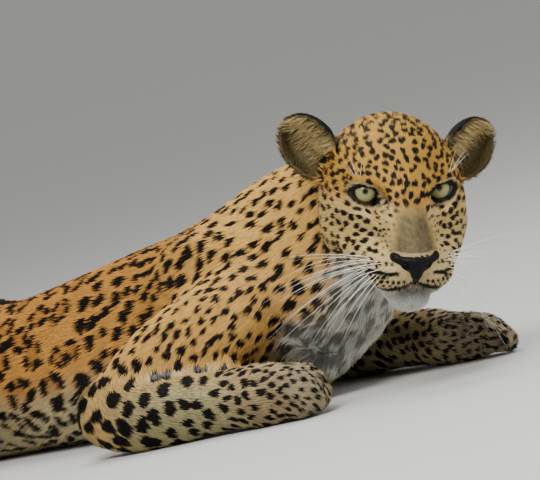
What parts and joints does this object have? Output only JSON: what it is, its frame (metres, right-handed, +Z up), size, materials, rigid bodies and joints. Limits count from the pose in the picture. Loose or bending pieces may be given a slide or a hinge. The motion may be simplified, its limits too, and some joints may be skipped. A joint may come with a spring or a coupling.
{
  "type": "lying leopard",
  "caption": "Life-size leopard lying on its chest with forelegs out, head raised and turned to its right, tail curled on the floor.",
  "frame": {"origin": "on the floor, on the flat underside of the chest, below the shoulders", "axes": "+X the way the chest faces, +Y the animal's left, +Z up"},
  "size_m": [1.5595, 0.6257, 0.3297],
  "materials": {
    "gold_fur": "short spotted fur",
    "pale_fur": "short pale spotted fur",
    "eye": "wet and clear",
    "nose": "damp, finely pebbled"
  },
  "bodies": {
    "root": {"head": "gold_fur", "nose": "nose", "eye_right": "eye", "eye_left": "eye", "ear_right": "gold_fur", "ear_left": "gold_fur", "neck": "gold_fur", "chest": "gold_fur", "loin": "gold_fur", "rump": "gold_fur", "tail_root": "gold_fur", "tail_middle": "gold_fur", "tail_tip": "pale_fur", "upper_arm_right": "gold_fur", "upper_arm_left": "gold_fur", "forearm_right": "pale_fur", "forearm_left": "pale_fur", "forepaw_right": "pale_fur", "forepaw_left": "pale_fur", "thigh_right": "gold_fur", "thigh_left": "gold_fur", "shin_right": "pale_fur", "shin_left": "pale_fur", "hind_foot_right": "pale_fur", "hind_foot_left": "pale_fur"}
  },
  "joints": []
}
